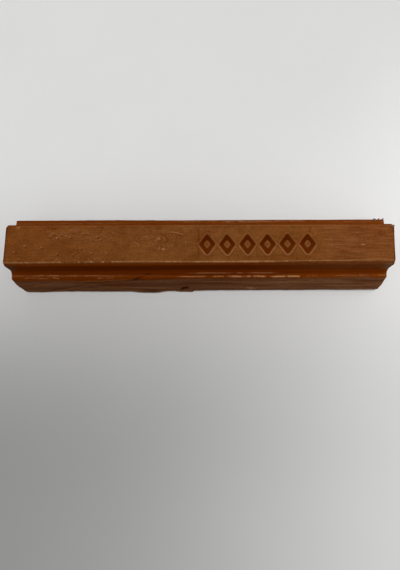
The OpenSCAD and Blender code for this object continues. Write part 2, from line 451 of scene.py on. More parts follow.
# Dulled skin with painted sheen, lighter to the right under painted light, and its colour in painted shade
WAX_DULL_AND_SHEEN = (0.138, 0.055, 0.024)
WAX_SHEEN_LIT_RIGHT = (0.201, 0.087, 0.0395)
WAX_SHADED_DULL_AND_SHEEN = (0.088, 0.029, 0.0095)
CRUMB_DARK = (0.12, 0.052, 0.018)
CRUMB_LIGHT = (0.2, 0.1, 0.042)
TABLE_DARK = (0.78, 0.78, 0.765)
TABLE_LIGHT = (0.82, 0.82, 0.81)
# In metres, as materials measure: where the ochre sets in and weakens, and the dulled skin's painted sheen
# lightens to the right
OCHRE_RISE = ((HEIGHT - 0.9) * MM, (HEIGHT - 0.15) * MM)
OCHRE_WEAKENING = (6 * MM, 42 * MM)
LIT_SHEEN_RISE = (2 * MM, 44 * MM)
# Values between which a noise texture mostly stays
NOISE_SPREAD = (0.3, 0.7)

TABLE_HALF = 1500
ROOM_BRIGHTNESS = 0.333
# Lights: name, place, the point they face, size, power in watts and spread in degrees
LIGHTS = [
    ("far_window", (-12, 63, 200), (-12, 58, 0), (240, 140), 0.0575, 26),
    ("right_window", (160, 20, 167), (114, -40, 0), (140, 200), 0.0551, 40),
]
# Camera at the photograph's angle: tilt, yaw and roll in degrees, the plateau's middle as it sees it, lens
CAMERA_TURNS = (8.931, -0.041, 0.281)
PLATEAU_IN_VIEW = (-0.114, 9.566, -98.85)
FOCAL_PIXELS = 431
LONG_SIDE_PIXELS = 570
SENSOR_WIDTH = 36


def smooth_noise(u, v, seed):
    """Smooth random field between -1 and 1, one cell for each unit of u and of v."""
    size = 64
    table = np.random.default_rng(seed).uniform(-1, 1, (size, size))
    u, v = np.broadcast_arrays(np.asarray(u, float), np.asarray(v, float))
    u0, v0 = np.floor(u).astype(int), np.floor(v).astype(int)
    fu, fv = u - u0, v - v0
    fu, fv = fu * fu * (3 - 2 * fu), fv * fv * (3 - 2 * fv)
    a, b, c, d = (table[(u0 + i) % size, (v0 + j) % size] for j in (0, 1) for i in (0, 1))
    return (a * (1 - fu) + b * fu) * (1 - fv) + (c * (1 - fu) + d * fu) * fv


def waves(u, v, layers):
    """Sum of layers of noise over two directions."""
    return sum(strength * smooth_noise(u / cell_u, v / cell_v, seed)
               for strength, cell_u, cell_v, seed in layers)


def along_waves(x, layers, first_seed=0):
    """Sum of layers of noise that change along the bar alone."""
    return sum(strength * smooth_noise(x / cell, 0.0, first_seed + seed) for strength, cell, seed in layers)


def rise(low, high, value):
    """Zero up to low and one from high on, or the other way round where high is the lower."""
    share = np.clip((value - low) / (high - low), 0, 1)
    return share * share * (3 - 2 * share)


def band(value, low, high, fade):
    """One between low and high, and zero beyond the fade on both sides."""
    return rise(low - fade, low, value) * rise(high + fade, high, value)


def bump(value, middle=0.0, width=1.0):
    """Bell that is one at the middle."""
    return np.exp(-((value - middle) / width) ** 2)


def curve(rows, x, column=1):
    """Value at each place along the bar, from rows that begin with a place."""
    columns = np.array(rows).T
    return np.interp(x, columns[0], columns[column])


def oval_distance(u, v, middle_u, middle_v, half_u, half_v, slope):
    """Distance from the middle of a slanting oval, which is one at its edge."""
    along = u - middle_u
    return np.hypot(along / half_u, (v - middle_v - slope * along) / half_v)


def corner_arc(before, corner, after, radius, steps):
    """Points that round one corner of an outline."""
    to_before = (before - corner) / np.linalg.norm(before - corner)
    to_after = (after - corner) / np.linalg.norm(after - corner)
    half_angle = math.acos(np.dot(to_before, to_after)) / 2
    middle = to_before + to_after
    centre = corner + middle / np.linalg.norm(middle) * radius / math.sin(half_angle)
    first = corner + to_before * radius / math.tan(half_angle) - centre
    last = corner + to_after * radius / math.tan(half_angle) - centre
    sweep = math.pi - 2 * half_angle
    points = []
    for step in range(steps + 1):
        turned = sweep * step / steps
        spoke = first * math.sin(sweep - turned) + last * math.sin(turned)
        points.append(centre + spoke / math.sin(sweep))
    return points


def straight(start, end, spacing):
    """Points after start, up to and with end, about one spacing apart."""
    count = max(1, round(np.linalg.norm(end - start) / spacing))
    return [start + (end - start) * i / count for i in range(1, count + 1)]


def half_section():
    """Points from the middle of the pour face, up the far side, to the middle of the plateau."""
    places = [np.array([0.0, 0.0])] + [np.array(corner[:2]) for corner in CORNERS] + [np.array([0.0, HEIGHT])]
    points = [places[0]]
    for i, (_, _, radius, steps, spacing) in enumerate(CORNERS):
        arc = corner_arc(places[i], places[i + 1], places[i + 2], radius, steps)
        points += straight(points[-1], arc[0], spacing)[:-1] + arc
    return points + straight(points[-1], places[-1], PLATEAU_SPACING)


class Section:
    """Closed section: the far side from the pour face up, then the near side down."""

    def __init__(self):
        far = half_section()
        near = [point * np.array([-1, 1]) for point in far[-2:0:-1]]
        self.loop = np.array(far + near)
        along = np.roll(self.loop, -1, axis=0) - np.roll(self.loop, 1, axis=0)
        along /= np.linalg.norm(along, axis=1)[:, None]
        self.outward = np.stack([along[:, 1], -along[:, 0]], axis=1)
        self.y, self.z = self.loop[:, 0], self.loop[:, 1]
        steps = np.linalg.norm(np.diff(self.loop, axis=0), axis=1)
        self.run = np.concatenate([[0], np.cumsum(steps)])
        self.near = self.y < 0
        self.top = (self.z > HEIGHT - FLATNESS) * rise(*PLATEAU_EDGE, np.abs(self.y))
        self.under = (self.z < FLATNESS) * 1.0
        self.flank = rise(*FLANK_TOP, self.z) * rise(*FLANK_FOOT, self.z)


def column_places(section):
    """Place along the bar of every point of the skin: a row for each column."""
    left = -HALF_LENGTH + LEFT_SKEW * (section.y + BASE_HALF)
    right = HALF_LENGTH + RIGHT_SKEW * (section.y - LEDGE_HALF)
    left = np.maximum(left - curve(LEFT_REACH, section.z), -HALF_LENGTH)
    right = np.minimum(right + curve(RIGHT_REACH, section.z), HALF_LENGTH)
    radius = end_radii(section)
    turns = 1 - np.cos(np.linspace(0, math.pi / 2, END_STEPS))
    first, last = COLUMN_ZONES[0][0], COLUMN_ZONES[-1][1]
    rows = [left + radius * turn for turn in turns]
    edge = rows[-1]
    rows += [edge + (first - edge) * step / BLEND_STEPS for step in range(1, BLEND_STEPS)]
    for low, high, spacing in COLUMN_ZONES:
        count = round((high - low) / spacing)
        rows += [np.full(len(left), low + (high - low) * i / count) for i in range(count)]
    rows += [last + (right - radius - last) * step / BLEND_STEPS for step in range(BLEND_STEPS)]
    rows += [right - radius * turn for turn in turns[::-1]]
    return np.array(rows), left, right


def end_radii(section):
    """Radius of the edge between an end face and each part of the skin."""
    foot = (FOOT_END_RADIUS - SHARP_END_RADIUS) * rise(FOOT_END_HEIGHT, 0.0, section.z)
    top = (PLATEAU_END_RADIUS - SHARP_END_RADIUS) * rise(BEVEL_FOOT_HEIGHT, RIM_HEIGHT, section.z)
    return SHARP_END_RADIUS + foot + top


def quarter_round(distance, radius):
    """How far a rounded edge lies under the square one, at a distance from the end."""
    left_over = np.clip(radius - distance, 0, radius)
    return radius - np.sqrt(np.clip(radius ** 2 - left_over ** 2, 0, None))


def lozenge_distance(u, v, half_width, half_height, radius):
    """Distance to the outline of a lozenge with rounded corners, below zero inside it."""
    slant = math.hypot(half_width, half_height)
    a = half_width - radius * slant / half_height
    b = half_height - radius * slant / half_width
    u, v = np.abs(u), np.abs(v)
    share = np.clip(((u - a) * -a + v * b) / (a * a + b * b), 0, 1)
    distance = np.hypot(u - a + share * a, v - share * b)
    return np.where(u / a + v / b > 1, distance, -distance) - radius


class Skin(Section):
    """Columns along the section, with the relief of the bar's skin and three masks for the material.

    The masks are, in turn, pale edges that are partly rubbed and partly painted highlight, painted shade,
    which turns dark from one to two, and a dulled skin that carries painted sheen.
    """

    def __init__(self):
        super().__init__()
        self.x, self.left, self.right = column_places(self)
        self.to_end = np.minimum(self.x - self.left, self.right - self.x)
        self.relief, self.rub, self.recess, self.dull = (np.zeros(self.x.shape) for _ in range(4))

    def add(self, relief=0.0, rub=0.0, recess=0.0, dull=0.0, where=1.0):
        """Adds one feature, limited to the part of the skin where it lies."""
        self.relief += relief * where
        self.rub += rub * where
        self.recess += recess * where
        self.dull += dull * where


def broad_waves(skin):
    """Slow swells everywhere, and the plateau's shallow sink."""
    x, y = skin.x, skin.y
    skin.add(waves(x, skin.run, SKIN_WAVES))
    sink = PLATEAU_SINK * (1 - (y / PLATEAU_HALF) ** 2)
    skin.add(waves(x, y, PLATEAU_RIPPLES) - sink, where=skin.top)


def pimples(skin):
    """Raised grains on the plateau, with a painted highlight and a painted shade off their middles, and
    specks with a painted highlight.
    """
    random = np.random.default_rng(FIELD_SEED)
    grains = list(PIMPLES)
    for _ in range(FIELD_COUNT):
        place = random.triangular(*PIMPLE_FIELD)
        across = random.uniform(*FIELD_ACROSS)
        radius = random.uniform(*FIELD_RADII)
        grains.append((place, across, radius, random.uniform(*FIELD_STRENGTHS)))
    for x, y, radius, strength in grains:
        along, across = (skin.x - x) / radius, (skin.y - y) / radius
        raised = max(strength, 0)
        skin.add(PIMPLE_HEIGHT * strength * bump(np.hypot(along, across)),
                 rub=8 * raised * bump(np.hypot(along + 0.35, across - 0.35), width=0.7),
                 recess=13 * raised * bump(np.hypot(along - 0.5, across + 0.8), width=0.9), where=skin.top)
    for x, y, radius in SPECKS:
        speck = bump(np.hypot(skin.x - x, skin.y - y), width=radius)
        skin.add(SPECK_HEIGHT * speck, rub=1.1 * speck, where=skin.z > LEDGE_HEIGHT)


def wrinkles(skin):
    """Patches of fine curled wrinkles with painted highlights, and painted shade on their near side."""
    x, y = skin.x, skin.y
    patches = np.max([share * band(x, *along) * band(y, *across)
                      for along, across, share in WRINKLE_PATCHES], axis=0)
    patches = patches * np.clip(0.55 + waves(x, y, WRINKLE_GAPS), 0, 1)
    curls = bump(waves(x, y, WRINKLE_CURLS), *WRINKLE_CONTOUR)
    shades = bump(waves(x, y + WRINKLE_SHADE_OFFSET, WRINKLE_CURLS), *WRINKLE_CONTOUR)
    skin.add(WRINKLE_HEIGHT * curls, rub=0.32 * curls, recess=0.85 * shades, where=patches * skin.top)


def blemishes(skin):
    """A shallow ring and a curved ridge in a rough patch, all with painted highlights and painted shade."""
    x, y, top = skin.x, skin.y, skin.top
    ring = oval_distance(x, y, *RING) + waves(x, y, RING_WOBBLE)
    gaps = np.clip(0.35 + waves(x, y, RING_GAPS), 0, 1) * (0.3 + 0.7 * rise(*RING_STRONG, np.abs(y)))
    edge = bump(ring, *RING_EDGE)
    skin.add(RING_HEIGHT * edge, rub=0.3 * gaps * edge, recess=0.5 * gaps * bump(ring, *RING_SHADE),
             where=top)
    arc = y + ARC_BEND * np.clip(x - ARC_SPAN[0], 0, None) ** 2
    ridge = bump(arc, *ARC_LINE)
    skin.add(ARC_HEIGHT * ridge, rub=0.5 * ridge, recess=0.4 * bump(arc, *ARC_SHADE),
             where=top * band(x, *ARC_SPAN))
    grains = waves(x, y, ROUGH_GRAINS)
    skin.add(ROUGH_HEIGHT * grains, rub=0.32 * np.clip(grains - 0.25, 0, 1),
             recess=0.35 * np.clip(-grains - 0.3, 0, 1),
             where=top * band(x, *ROUGH_ALONG) * band(y, *ROUGH_ACROSS))


def witness_lines(skin):
    """Thin grooves at both ends of the mould's insert plate, with painted shade in them."""
    for place, low, high in WITNESS_LINES:
        line = bump(skin.x, place, WITNESS_WIDTH) * band(skin.y, low, high, WITNESS_FADE)
        skin.add(-WITNESS_DEPTH * line, recess=0.7 * line, where=skin.top)


def streaks(skin):
    """Fine lengthwise scratches on the right part of the plateau, with painted highlights and shade, and a
    little dulled skin with painted sheen.
    """
    streak = waves(skin.x, skin.y, STREAKS)
    skin.add(STREAK_HEIGHT * streak, rub=0.19 * np.clip(streak, 0, 1), recess=0.42 * np.clip(-streak, 0, 1),
             dull=0.14, where=rise(*STREAK_START, skin.x) * skin.top)


def marks(skin):
    """Stamped lozenges, with the thin rims that the stamp pushed up round them, painted shade in and round
    them, and painted highlights on the rims.
    """
    strays = np.random.default_rng(MARK_SEED).uniform(-1, 1, (MARK_COUNT, len(MARK_STRAY))) * MARK_STRAY
    outer_size = np.array([MARK_HALF_WIDTH, MARK_HALF_HEIGHT])
    inner_size = outer_size * (1 - MARK_STROKE / MARK_HALF_WIDTH)
    half_stroke = 0.5 * MARK_STROKE * MARK_HALF_HEIGHT / math.hypot(*outer_size)
    for i, (shift, turn, shift_across, deeper) in enumerate(strays):
        along = skin.x - (MARK_ROW_PLACE + (i - (MARK_COUNT - 1) / 2) * MARK_PITCH + shift)
        across = skin.y - MARK_ROW_ACROSS - shift_across
        u = along * math.cos(turn) + across * math.sin(turn)
        v = across * math.cos(turn) - along * math.sin(turn)
        outer = lozenge_distance(u, v, *outer_size, MARK_CORNER_RADIUS)
        inner = lozenge_distance(u, v, *inner_size, ISLAND_CORNER_RADIUS)
        room = np.clip(np.minimum(-outer, inner), 0, None)
        bowl = 1 - np.clip(1 - room / half_stroke, 0, 1) ** 2
        rim = bump(outer, *MARK_RIM) * (outer > -RIM_OVERLAP)
        island_rim = bump(inner, *ISLAND_RIM) * (inner < RIM_OVERLAP)
        rims = MARK_RIM_HEIGHT * rim + ISLAND_RIM_HEIGHT * island_rim
        in_shade = rise(0.15, 0.85, bowl) * (1.0 + 0.3 * rise(*MARK_UPPER, v))
        shade_ring = bump(outer, *MARK_SHADE_RING) * (outer > 0)
        skin.add(rims - MARK_DEPTH * (1 + deeper) * bowl,
                 rub=(0.1 + 0.38 * rise(*MARK_LOWER, v)) * (rim + 0.9 * island_rim),
                 recess=in_shade + 0.4 * rise(*ISLAND_TOP, inner) + 0.2 * shade_ring, where=skin.top)


def plateau_edges(skin):
    """Thin burrs with painted highlights on the plateau's long edges, and a groove with painted shade inside
    the far one.
    """
    x, y, z = skin.x, skin.y, skin.z
    broken = np.clip(0.15 + along_waves(x, BROKEN_WAVES), 0, 1.3)
    solid = np.clip(0.75 + along_waves(x, SOLID_WAVES), 0, 1.2)
    low, high = BROKEN_BURR
    share = curve(NEAR_BURR, x) * np.where((x > low) & (x < high), broken, solid)
    share = share * (1 + 0.8 * rise(0.3, 0.9, along_waves(x, BURR_POINTS)))
    share = share * bump(y + curve(NEAR_BURR, x, 2), -PLATEAU_HALF, NEAR_BURR_WIDTH)
    skin.add(NEAR_BURR_HEIGHT * share, rub=1.15 * share, where=z > HEIGHT - NEAR_BURR_DROP)
    share = curve(FAR_BURR, x) * np.clip(0.7 + along_waves(x, FAR_BURR_WAVES), 0, 1)
    share = share * bump(y, *FAR_BURR_LINE)
    skin.add(FAR_BURR_HEIGHT * share, rub=0.4 * share, where=z > HEIGHT - FAR_BURR_DROP)
    groove = bump(y, *GROOVE) * np.clip(0.5 + along_waves(x, GROOVE_WAVES), 0, 1)
    skin.add(-GROOVE_DEPTH * groove, recess=0.5 * groove, where=skin.top)


def end_lines(skin):
    """Painted shade as a line down each end and on the far corner, and patches of painted sheen on the walls.
    """
    z, to_end = skin.z, skin.to_end
    line = bump(to_end, *END_LINE) * rise(*END_LINE_RISE, z)
    ragged_end = to_end + waves(skin.x, z, SHEEN_PATCH_WAVES)
    sheen_patch = band(z, *SHEEN_PATCH_BAND) * rise(*SHEEN_PATCH_REACH, ragged_end)
    corner = rise(*FAR_CORNER_REACH, to_end) * rise(*FAR_CORNER_ACROSS, skin.y) * skin.top
    skin.add(recess=1.4 * line + 0.45 * corner, dull=np.where(skin.near, 1.2, 0.45) * sheen_patch)


def shaded_steps(skin):
    """Painted shade on the bevels, walls, coves and lips, faint painted light on the far side, and a dulled
    skin with painted sheen on the near walls.
    """
    x, y, z, near = skin.x, np.abs(skin.y), skin.z, skin.near
    inside = np.where(near, 1.0, 0.08) * (0.35 + 0.65 * rise(*END_PALING, skin.to_end))
    wall, bevel = band(z, *WALL_BAND), band(z, *BEVEL_BAND)
    cove = rise(*COVE_TOP, z) * (z > COVE_FOOT) * rise(*COVE_MOUTH, y)
    lip = bump(z, *LEDGE_LEVEL) * rise(*LIP_SHADE, y) * rise(*LIP_SHADE_END, x)
    steps = curve(WALL_SHADE_STRENGTH, x) * (1.15 * wall + 0.35 * bevel)
    skin.add(recess=inside * (steps + cove * curve(COVE_SHADE_STRENGTH, x) + 0.6 * lip))
    skin.add(rub=0.035 * band(z, *FAR_SIDE_BAND), where=~near)
    back_shade = bump(y, *COVE_BACK_SHADE) * band(z, *COVE_BACK_SHADE_BAND) * rise(*COVE_BACK_SHADE_START, x)
    skin.add(recess=0.7 * back_shade, dull=curve(WALL_DULL_AND_SHEEN, x) * (wall + bevel), where=near)


def ledges(skin):
    """Parting ridge along both ledges with a painted highlight, and their uneven lips."""
    x, y = skin.x, np.abs(skin.y)
    path, strength = curve(RIDGE_PATH, x), curve(RIDGE_STRENGTH, x)
    width = RIDGE_WIDTH + RIDGE_WIDENING * band(x, *RIDGE_WIDE_SPAN)
    for side, seed, pale in RIDGE_SIDES:
        here = (np.sign(skin.y) == side) * bump(skin.z, *LEDGE_LEVEL)
        breaks = along_waves(x, RIDGE_BREAKS, seed) * (0.42 + 0.68 * rise(*RIDGE_BREAKS_RISE, x))
        share = bump(y - along_waves(x, RIDGE_SWAY, seed), path, width)
        share = share * np.clip(strength * (0.9 + breaks), 0, 1.3)
        skin.add(RIDGE_HEIGHT * share, rub=pale * share, where=here)
        skin.add(along_waves(x, LIP_WAVES, seed), where=here * bump(y, *LIP_LINE))


def near_ledge_lines(skin):
    """Second ridge of the near ledge, and the lines and the fold in its cove, with painted highlights and
    shade.
    """
    x, y = skin.x, np.abs(skin.y)
    on_ledge, in_cove = (skin.near * bump(skin.z, *level) for level in (LEDGE_LEVEL, COVE_LEVEL))
    strength = curve(SECOND_RIDGE, x)
    share = bump(y - along_waves(x, SECOND_SWAY), *SECOND_LINE) * (strength > 0)
    share = share * np.clip(strength + along_waves(x, SECOND_BREAKS), 0, 1)
    skin.add(SECOND_HEIGHT * share, rub=0.9 * share, where=on_ledge)
    line = bump(y + along_waves(x, COVE_SWAY), *COVE_LINE)
    line = line * np.clip(0.6 + along_waves(x, COVE_BREAKS), 0, 1)
    skin.add(COVE_LINE_HEIGHT * line, rub=0.6 * line, recess=0.45 * bump(y, *COVE_SHADE),
             where=in_cove * band(x, *COVE_SPAN))
    fold = bump(y, curve(FOLD_PATH, x), FOLD_WIDTH) * band(x, *FOLD_SPAN)
    skin.add(-FOLD_DEPTH * fold, recess=(0.6 + 0.9 * rise(*FOLD_DARKENING, y)) * fold, where=in_cove)


def flanks(skin):
    """Lengthwise lines on the lower sides, with painted highlights and shade."""
    lines = waves(skin.x, skin.z, FLANK_LINES)
    above_foot = 0.4 + 0.6 * rise(*FLANK_LINE_RISE, skin.z)
    skin.add(FLANK_LINE_HEIGHT * lines, rub=0.11 * np.clip(lines, 0, 1),
             recess=0.9 * above_foot * np.clip(-lines, 0, 1), where=skin.flank)


def cold_lap(skin):
    """Cold lap with painted shade and a painted highlight, and the upper edge of the dulled skin with painted
    sheen, which it cuts off, with painted shade along it.
    """
    x, z, near = skin.x, skin.z, skin.near
    lap_height = curve(LAP_PATH, x) + along_waves(x, LAP_WAVES)
    above = z - lap_height
    skin.add(-LAP_DEPTH * rise(*LAP_STEP, above) * rise(*LAP_RUN_OUT, above),
             recess=1.3 * bump(above, *LAP_SHADE), rub=0.35 * bump(above, *LAP_LIGHT),
             where=skin.flank * near * band(x, *LAP_SPAN))
    dull_and_sheen_top = curve(DULL_SHEEN_TOP, x)
    low, high = DULL_SHEEN_CUT_OFF
    dull_and_sheen_top = np.where(near & (x > low) & (x < high), np.minimum(lap_height, dull_and_sheen_top), dull_and_sheen_top)
    above = z - dull_and_sheen_top - along_waves(x, DULL_SHEEN_WAVES)
    skin.add(dull=rise(*DULL_SHEEN_FADE, above), where=1 - skin.under)
    skin.add(recess=rise(*DULL_SHEEN_SHADE_END, x) * bump(above, *DULL_SHEEN_SHADE), where=near)


def creases(skin):
    """Creases in the near lower side with painted shade and a painted highlight beside them, and a pale nick
    with a painted highlight.
    """
    x, z = skin.x, skin.z
    near = skin.flank * skin.near
    for x0, z0, x1, z1, depth in CREASES:
        line = z - z0 - (z1 - z0) * (x - x0) / (x1 - x0) - along_waves(x, CREASE_WAVES)
        crease = bump(line, *CREASE_LINE)
        skin.add(-depth * crease, recess=0.8 * crease, rub=0.15 * bump(line, *CREASE_LIGHT),
                 where=near * band(x, x0, x1, CREASE_FADE))
    nick = rise(1.3, 0.6, oval_distance(x, z, *NICK) + waves(x, z, NICK_WAVES))
    skin.add(-NICK_DEPTH * nick, rub=0.5 * nick, where=near)


def base_edges(skin):
    """Uneven outline of the pour face, and the bulge of the near edge with its painted shadow, a faint
    painted highlight and a dulled skin with painted sheen along that edge.
    """
    x, y = skin.x, skin.y
    edge = bump(oval_distance(np.abs(y), skin.z, *BASE_EDGE))
    shade = bump(x, *BULGE_SHADE)
    skin.add(along_waves(x, NEAR_BASE_WAVES) + curve(NEAR_BASE_BULGE, x), rub=0.1 * (1 - shade),
             dull=0.6, recess=1.5 * shade, where=edge * skin.near)
    skin.add(along_waves(x, FAR_BASE_WAVES) - FAR_BASE_DRAW_IN, where=edge * (y > 0))


def flash(skin):
    """Torn tongue of flash at the near edge in painted shade, the hole above it with a painted shadow, and
    the torn wax between them with painted highlights.
    """
    x, z = skin.x, skin.z
    near = skin.y < -FLASH_INNER_SIDE
    tongue = np.clip(curve(FLASH_SHAPE, x) + along_waves(x, FLASH_WAVES), 0, 1)
    tongue = tongue * rise(*FLASH_TOP, z)
    skin.add(FLASH_REACH * tongue, recess=1.3 * tongue, where=near)
    hole = rise(1.2, 0.75, oval_distance(x, z, *HOLE) + waves(x, z, HOLE_WAVES))
    skin.add(-HOLE_DEPTH * hole, recess=3.5 * hole, dull=-1.0 * hole, where=near)
    bits = waves(x, z, TORN_BITS)
    skin.add(TORN_HEIGHT * bits, rub=0.7 * np.clip(bits, 0, 1),
             where=near * band(x, *TORN_SPAN) * bump(z, *TORN_LINE))


def pour_face(skin):
    """Dish and ripples of the face that cooled in the open."""
    x, y = skin.x, skin.y
    off_middle = np.abs(y) / BASE_HALF
    dish = rise(1.0, 0.5, off_middle) * rise(*DISH_END, np.abs(x))
    ripples = (0.5 + waves(x + RIPPLE_SLANT * y, y, RIPPLES)) * rise(1.0, 0.85, off_middle)
    skin.add(-DISH_DEPTH * dish - RIPPLE_DEPTH * ripples, where=skin.under)


FEATURES = (
    broad_waves, pimples, wrinkles, blemishes, witness_lines, streaks, marks, plateau_edges, end_lines,
    shaded_steps, ledges, near_ledge_lines, flanks, cold_lap, creases, base_edges, flash, pour_face,
)


def bar_mesh():
    """Points, faces and masks of the bar: a skin lofted along the section, closed by two end caps."""
    skin = Skin()
    for feature in FEATURES:
        feature(skin)
    x, radius = skin.x, end_radii(skin)
    relief = skin.relief - quarter_round(x - skin.left, radius) - quarter_round(skin.right - x, radius)
    across = skin.y + skin.outward[:, 0] * relief
    up = np.clip(skin.z + skin.outward[:, 1] * relief, 0, None)
    shape = np.stack([x, across * corner_share(skin), up], axis=2)
    rows, count = x.shape
    index = np.arange(rows * count).reshape(rows, count)
    points, faces, total = [shape.reshape(-1, 3)], loft_faces(index), rows * count
    for row, inward, seed in ((0, 1, 101), (-1, -1, 102)):
        cap = end_cap(shape[row], inward, seed)
        numbers = total + np.arange(len(cap)).reshape(-1, count)
        grid = np.vstack([index[row][None, :], numbers])
        faces += loft_faces(grid[::-1] if row == 0 else grid)
        faces.append((numbers[-1, ::-1] if row == 0 else numbers[-1]).tolist())
        points.append(cap)
        total += len(cap)
    caps = np.zeros(total - rows * count)
    masks = {name: np.concatenate([np.clip(mask, 0, 2).ravel(), caps])
             for name, mask in (("rub", skin.rub), ("recess", skin.recess), ("dull", skin.dull))}
    return np.vstack(points), faces, masks


def corner_share(skin):
    """Narrows the bar: a slight taper, and corners rounded as seen from above."""
    x, z = skin.x, skin.z
    share = 1 - curve(UPPER_TAPER, x) * rise(*TAPER_RISE, z)
    high = rise(*UPPER_CORNER_RISE, z)
    trimmed = np.maximum(rise(*FAR_TRIM_LEFT, x), rise(*FAR_TRIM_RIGHT, x))
    share -= FAR_TRIM / PLATEAU_HALF * trimmed * high * (skin.y > 0)
    low = np.clip(1 - z / LEDGE_HEIGHT, 0, 1) ** 0.7
    foot = np.clip(1 - z / FOOT_CORNER_HEIGHT, 0, 1) ** 2
    for end, side, *radii in CORNER_RADII:
        distance = x - skin.left if end < 0 else skin.right - x
        for radius, level in zip(radii, (low / BASE_HALF, foot / BASE_HALF, high / PLATEAU_HALF)):
            share -= quarter_round(distance, radius) * level * (np.sign(skin.y) == side)
    return share


def loft_faces(grid):
    """Quads between neighbouring rows of a grid of point numbers, closed round each row."""
    onward = np.roll(grid, -1, axis=1)
    return np.stack([grid[:-1], onward[:-1], onward[1:], grid[1:]], axis=2).reshape(-1, 4).tolist()


def end_cap(ring, inward, seed):
    """Rings that draw in from an end's edge towards a middle."""
    middle = np.array([ring[:, 0].mean(), 0.0, CAP_MIDDLE_HEIGHT])
    shares = np.append(1 - np.linspace(0, 1, CAP_RINGS)[1:-1] ** CAP_RING_POWER, CAP_LAST_RING)
    rings = np.array([middle + (ring - middle) * share for share in shares])
    sink = CAP_SINK * (1 - shares[:, None] ** 2)
    grain = smooth_noise(rings[:, :, 1] / CAP_GRAIN_CELL, rings[:, :, 2] / CAP_GRAIN_CELL, seed)
    grain = CAP_GRAIN * grain * (1 - shares[:, None] ** 8)
    rings[:, :, 0] += inward * (sink + CAP_SET_BACK + grain)
    return rings.reshape(-1, 3)


def chip_mesh(foot, size, height, seed):
    """Angular crumb that stands on its foot: a ball cut by random planes and then softened."""
    random = np.random.default_rng(seed)
    cuts = random.normal(size=(CHIP_CUTS, 3))
    cuts /= np.linalg.norm(cuts, axis=1)[:, None]
    depths = random.uniform(*CHIP_CUT_DEPTHS, CHIP_CUTS)
    maker = bmesh.new()
    bmesh.ops.create_icosphere(maker, subdivisions=4, radius=1)
    directions = np.array([v.co[:] for v in maker.verts])
    faces = np.array([[v.index for v in f.verts] for f in maker.faces])
    maker.free()
    nearness = np.clip(directions @ cuts.T / depths, 0, None)
    reach = (nearness ** CHIP_SHARPNESS).sum(1) ** (-1 / CHIP_SHARPNESS)
    along, across, up = directions.T
    reach *= 1 + CHIP_GRAIN * smooth_noise(along * 4, across * 4 + up * 3, seed)
    points = directions * reach[:, None]
    low, high = points.min(0), points.max(0)
    points = (points - low) / (high - low) - np.array([0.5, 0.5, 0.0])
    return points * np.array([size, size * CHIP_DEPTH_SHARE, height]) + np.array(foot), faces


def add_mesh(name, points, faces, masks=None):
    """Adds a smooth mesh from points in millimetres, with its masks as attributes."""
    mesh = bpy.data.meshes.new(name)
    mesh.from_pydata((np.asarray(points) * MM).tolist(), [], faces)
    mesh.shade_smooth()
    for mask_name, values in (masks or {}).items():
        layer = mesh.attributes.new(mask_name, "FLOAT", "POINT")
        layer.data.foreach_set("value", values.astype(np.float32))
    thing = bpy.data.objects.new(name, mesh)
    bpy.context.collection.objects.link(thing)
    return thing


class Material:
    """Short ways to add nodes to one material.

    A value is a socket, a number, a colour as a tuple or a vector as a list.
    """

    def __init__(self, name):
        self.material = bpy.data.materials.new(name)
        self.material.use_nodes = True
        self.tree = self.material.node_tree
        self.shader = self.tree.nodes["Principled BSDF"]
        self.place = self.tree.nodes.new("ShaderNodeTexCoord").outputs["Object"]

    def feed(self, node, values):
        """Joins each value that is a socket to the node's input, and sets the others on it."""
        for name, value in values.items():
            if isinstance(value, bpy.types.NodeSocket):
                self.tree.links.new(value, node.inputs[name])
            else:
                node.inputs[name].default_value = (*value, 1.0) if isinstance(value, tuple) else value

    def node(self, kind, values, output, **settings):
        """Adds a node, and returns one of its outputs."""
        node = self.tree.nodes.new("ShaderNode" + kind)
        for name, setting in settings.items():
            setattr(node, name, setting)
        self.feed(node, values)
        return node.outputs[output]

    def noise(self, cells, detail=3.0):
        """Noise between 0 and 1, with the size of its cells in millimetres along each axis."""
        scale = [1 / (MM * size) for size in cells]
        place = self.node("Mapping", {"Vector": self.place, "Scale": scale}, "Vector")
        values = {"Vector": place, "Scale": 1.0, "Detail": detail, "Roughness": 0.55}
        return self.node("TexNoise", values, "Fac")

    def mask(self, name):
        return self.node("Attribute", {}, "Fac", attribute_name=name)

    def place_on(self, axis):
        return self.node("SeparateXYZ", {0: self.place}, axis)

    def math(self, operation, a, b=0.0, clamp=False):
        return self.node("Math", {0: a, 1: b}, 0, operation=operation, use_clamp=clamp)

    def total(self, *values):
        return functools.reduce(lambda a, b: self.math("ADD", a, b), values)

    def product(self, *values):
        return functools.reduce(lambda a, b: self.math("MULTIPLY", a, b), values)

    def ramp(self, value, low, high, to_low=0.0, to_high=1.0):
        """Smooth change from one value to another between two limits."""
        values = {"Value": value, "From Min": low, "From Max": high, "To Min": to_low, "To Max": to_high}
        return self.node("MapRange", values, "Result", interpolation_type="SMOOTHSTEP")

    def spread(self, noise, to_low=0.0, to_high=1.0):
        """Noise stretched so that it fills the range from one value to another."""
        return self.ramp(noise, *NOISE_SPREAD, to_low, to_high)

    def mix(self, share, a, b, blend="MIX"):
        return self.node("Mix", {0: share, 6: a, 7: b}, 2, data_type="RGBA", blend_type=blend)

    def surface(self, height, strength, distance, values):
        """Gives the shader its values and a bump, with the bump's distance in millimetres."""
        bump_values = {"Height": height, "Strength": strength, "Distance": distance * MM}
        self.feed(self.shader, {**values, "Normal": self.node("Bump", bump_values, "Normal")})
        return self.material


